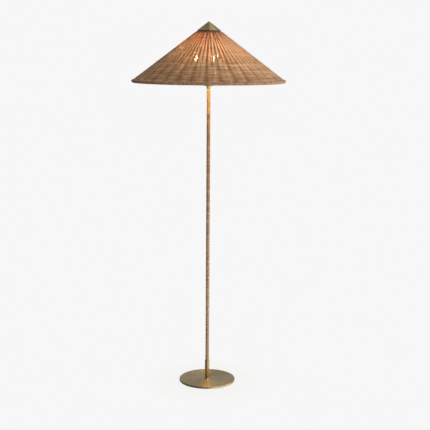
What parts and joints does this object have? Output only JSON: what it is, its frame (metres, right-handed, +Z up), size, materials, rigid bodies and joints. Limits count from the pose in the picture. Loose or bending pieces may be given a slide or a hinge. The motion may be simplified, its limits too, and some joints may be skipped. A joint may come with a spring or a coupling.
{
  "type": "rattan floor lamp",
  "caption": "Floor lamp with a woven rattan cone shade under a small brass cap, over tilted bulbs on a hub, on a cane-wrapped stem and a round weighted brass foot.",
  "frame": {"origin": "on the floor, at the middle of the round foot's underside", "axes": "+Z up along the stem; the cord inlet is at the back, on +Y; -Y faces the viewer of the picture"},
  "size_m": [0.64, 0.64, 1.53],
  "materials": {
    "brass": "satin brass, brushed in circles on the foot",
    "steel": "plain zinc-plated steel",
    "bulb_cap": "rolled thread, dull",
    "iron": "rough cast, painted dark",
    "rattan": "woven rattan, dry satin",
    "cane": "cane wound round the stem, satin",
    "felt": "pressed felt",
    "rubber": "matt",
    "lead": "smooth insulated lead",
    "plastic": "moulded",
    "ceramic": "glazed porcelain",
    "glass": "clear, warm when lit",
    "filament": "glowing filament strands on a glass stem"
  },
  "bodies": {
    "stand": {"base_cover": "brass", "base_weight": "iron", "base_felt": "felt", "cord_grommet": "rubber", "stem_flange": "steel", "flange_screw_1": "steel", "flange_screw_2": "steel", "flange_screw_3": "steel", "stem_collar": "brass", "stem_tube": "steel", "stem_wrap": "cane", "wrap_tack": "brass", "top_ferrule": "brass", "stem_flex": "lead", "hub_bowl": "brass", "hub_lid": "brass", "stem_nut": "steel", "wire_connector": "plastic", "shade_rod": "steel", "rod_nut_lower": "steel", "rod_nut_upper": "brass", "spider_nut": "brass", "branch_nipple_1": "brass", "holder_lead_1": "lead", "holder_shell_1": "brass", "holder_core_1": "ceramic", "holder_sleeve_1": "brass", "holder_contact_1": "brass", "branch_nipple_2": "brass", "holder_lead_2": "lead", "holder_shell_2": "brass", "holder_core_2": "ceramic", "holder_sleeve_2": "brass", "holder_contact_2": "brass", "branch_nipple_3": "brass", "holder_lead_3": "lead", "holder_shell_3": "brass", "holder_core_3": "ceramic", "holder_sleeve_3": "brass", "holder_contact_3": "brass"},
    "bulb_1": {"bulb_cap_1": "bulb_cap", "bulb_glass_1": "glass", "bulb_filament_1": "filament"},
    "bulb_2": {"bulb_cap_2": "bulb_cap", "bulb_glass_2": "glass", "bulb_filament_2": "filament"},
    "bulb_3": {"bulb_cap_3": "bulb_cap", "bulb_glass_3": "glass", "bulb_filament_3": "filament"},
    "shade": {"shade_weave": "rattan", "shade_hoop": "steel", "rim_binding": "rattan", "shade_spider": "steel", "spider_washer": "steel"},
    "cap": {"cap_shell": "brass", "cap_boss": "brass"}
  },
  "joints": [
    {"name": "shade_lift", "type": "slide", "parent": "stand", "child": "shade", "axis": [0, 0, 1], "range_m": [0, 0.25]},
    {"name": "cap_lift", "type": "slide", "parent": "shade", "child": "cap", "axis": [0, 0, 1], "range_m": [0, 0.05]},
    {"name": "bulb_1_draw", "type": "slide", "parent": "stand", "child": "bulb_1", "axis": [0.28, 0.295, 0.9135], "range_m": [0, 0.032]},
    {"name": "bulb_2_draw", "type": "slide", "parent": "stand", "child": "bulb_2", "axis": [-0.3955, 0.095, 0.9135], "range_m": [0, 0.032]},
    {"name": "bulb_3_draw", "type": "slide", "parent": "stand", "child": "bulb_3", "axis": [0.1155, -0.39, 0.9135], "range_m": [0, 0.032]}
  ]
}
